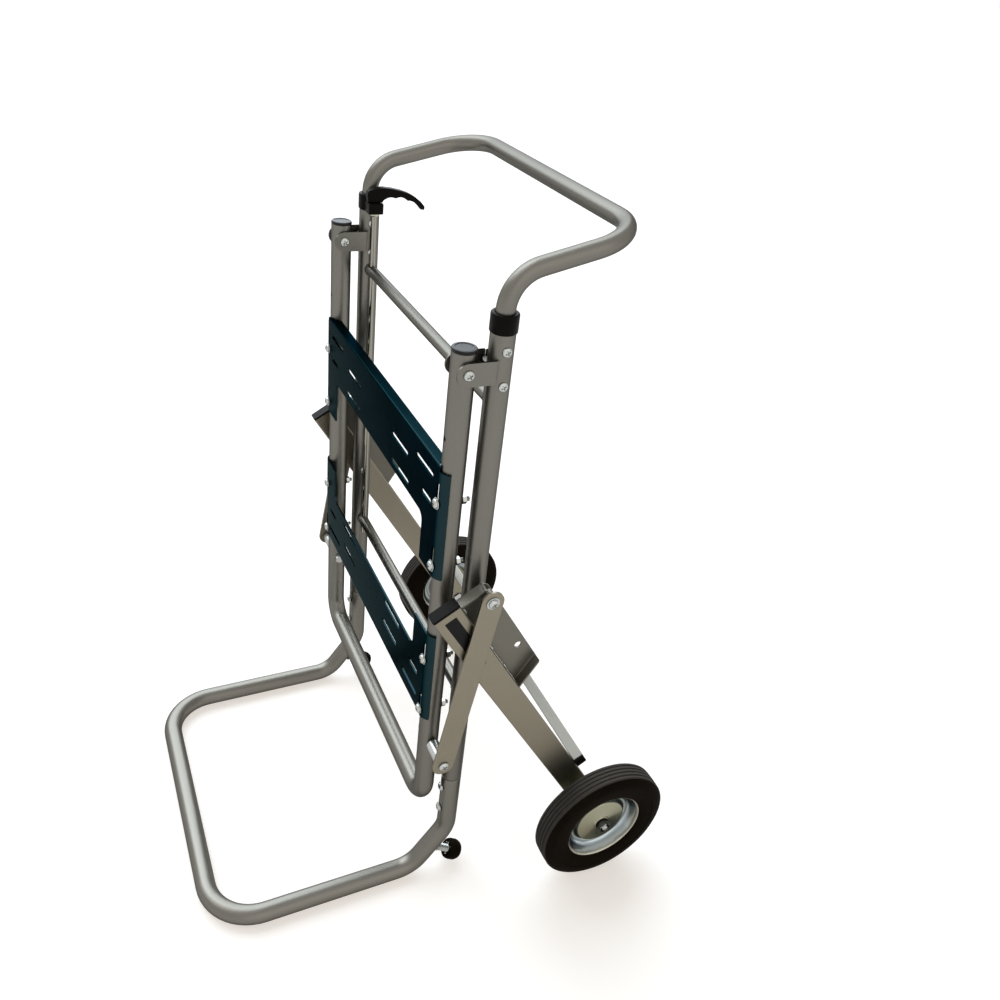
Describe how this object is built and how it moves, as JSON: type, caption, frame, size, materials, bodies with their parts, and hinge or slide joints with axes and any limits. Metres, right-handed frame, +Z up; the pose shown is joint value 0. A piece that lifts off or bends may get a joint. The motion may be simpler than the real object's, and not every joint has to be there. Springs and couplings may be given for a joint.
{
  "type": "folding wheeled saw stand",
  "caption": "Folding tubular stand on wheels for a bench saw, with a push handle, slotted tool brackets and a linkage that folds the tool frame and wheel legs together.",
  "frame": {"origin": "on the floor, at the middle of the stand's footprint when it stands folded on its base and wheels", "axes": "+Z up, +X across the stand to its right seen by a person who faces the tool side, -Y towards the side that carries the tool, +Y towards the person who pushes it"},
  "size_m": [0.6552, 0.6742, 0.9834],
  "materials": {
    "silver_paint": "silver-grey metallic powder coat, satin",
    "teal_paint": "very dark blue-green gloss paint",
    "black_plastic": "black moulded, slightly textured",
    "zinc": "bright zinc plate",
    "zinc_yellow": "zinc plate, faintly yellow",
    "chrome": "polished",
    "tyre": "black rubber, matt",
    "foot_rubber": "black rubber"
  },
  "bodies": {
    "rear_frame": {"upright_right": "silver_paint", "upright_left": "silver_paint", "cross_tube_upper": "silver_paint", "cross_tube_lower": "silver_paint", "clevis_right": "silver_paint", "clevis_left": "silver_paint", "base_tube": "silver_paint", "push_handle": "silver_paint", "collar_right": "black_plastic", "collar_left": "black_plastic", "handle_screw_right_upper": "zinc", "handle_screw_right_lower": "zinc", "handle_screw_left_upper": "zinc", "handle_screw_left_lower": "zinc", "base_screw_right_upper": "zinc", "base_screw_right_lower": "zinc", "base_screw_left_upper": "zinc", "base_screw_left_lower": "zinc", "leg_pivot_bolt_right": "zinc", "leg_pivot_bolt_left": "zinc", "hinge_bolt_right": "zinc", "hinge_bolt_left": "zinc"},
    "tool_frame": {"tool_frame_tube": "silver_paint", "tube_cap_right": "black_plastic", "tube_cap_left": "black_plastic", "upper_bracket": "teal_paint", "lower_bracket": "teal_paint", "upper_bracket_bolt_right_top": "zinc", "upper_bracket_bolt_right_bottom": "zinc", "upper_bracket_bolt_left_top": "zinc", "upper_bracket_bolt_left_bottom": "zinc", "lower_bracket_bolt_right_top": "zinc", "lower_bracket_bolt_right_bottom": "zinc", "lower_bracket_bolt_left_top": "zinc", "lower_bracket_bolt_left_bottom": "zinc", "link_spacer_right": "zinc", "link_spacer_left": "zinc", "link_bolt_right": "zinc", "link_bolt_left": "zinc"},
    "right_link": {"link_right": "silver_paint", "link_top_bolt_right": "zinc"},
    "left_link": {"link_left": "silver_paint", "link_top_bolt_left": "zinc"},
    "wheel_legs": {"leg_right": "silver_paint", "leg_left": "silver_paint", "leg_cap_right": "black_plastic", "leg_cap_left": "black_plastic", "leg_plate_right": "silver_paint", "leg_plate_left": "silver_paint", "spreader_bar": "silver_paint", "axle_bolt_right": "zinc", "axle_bolt_left": "zinc"},
    "right_wheel": {"rim_right": "zinc_yellow", "tyre_right": "tyre"},
    "left_wheel": {"rim_left": "zinc_yellow", "tyre_left": "tyre"},
    "right_foot": {"levelling_foot_right": "foot_rubber"},
    "left_foot": {"levelling_foot_left": "foot_rubber"},
    "lever": {"release_lever": "black_plastic"},
    "rod": {"release_rod": "chrome"}
  },
  "joints": [
    {"name": "tool_frame_fold", "type": "hinge", "parent": "rear_frame", "child": "tool_frame", "pos_m": [0, -0.02315, 0.834], "axis": [-1, 0, 0], "range_deg": [0, 35.7]},
    {"name": "wheel_legs_fold", "type": "hinge", "parent": "rear_frame", "child": "wheel_legs", "pos_m": [0, 0.01785, 0.4533], "axis": [1, 0, 0], "range_deg": [0, 88.04]},
    {"name": "right_link_turn", "type": "hinge", "parent": "tool_frame", "child": "right_link", "pos_m": [0.2731, -0.02315, 0.287], "axis": [-1, 0, 0], "range_deg": [0, 30.72]},
    {"name": "left_link_turn", "type": "hinge", "parent": "tool_frame", "child": "left_link", "pos_m": [-0.2731, -0.02315, 0.287], "axis": [-1, 0, 0], "range_deg": [0, 30.72]},
    {"name": "right_wheel_spin", "type": "hinge", "parent": "wheel_legs", "child": "right_wheel", "pos_m": [0.3054, 0.23555, 0.1016], "axis": [1, 0, 0], "continuous": true},
    {"name": "left_wheel_spin", "type": "hinge", "parent": "wheel_legs", "child": "left_wheel", "pos_m": [-0.3054, 0.23555, 0.1016], "axis": [1, 0, 0], "continuous": true},
    {"name": "right_foot_screw", "type": "slide", "parent": "rear_frame", "child": "right_foot", "axis": [0, 0.8121, -0.5835], "range_m": [-0.003, 0.004]},
    {"name": "left_foot_screw", "type": "slide", "parent": "rear_frame", "child": "left_foot", "axis": [0, 0.8121, -0.5835], "range_m": [-0.003, 0.004]},
    {"name": "lever_pull", "type": "hinge", "parent": "rear_frame", "child": "lever", "pos_m": [-0.2025, 0.00885, 0.8925], "axis": [1, 0, 0], "range_deg": [0, 25]},
    {"name": "rod_lift", "type": "slide", "parent": "rear_frame", "child": "rod", "axis": [0, 0, 1], "range_m": [0, 0.0038], "stiffness_N_per_m": 4000, "springref_m": -0.0015}
  ],
  "couplings": [
    {"joint": "wheel_legs_fold", "follows": "tool_frame_fold", "ratio": 2.466},
    {"joint": "right_link_turn", "follows": "tool_frame_fold", "ratio": 0.8605},
    {"joint": "left_link_turn", "follows": "tool_frame_fold", "ratio": 0.8605},
    {"joint": "lever_pull", "follows": "rod_lift", "rad_per_m": 114.8}
  ]
}
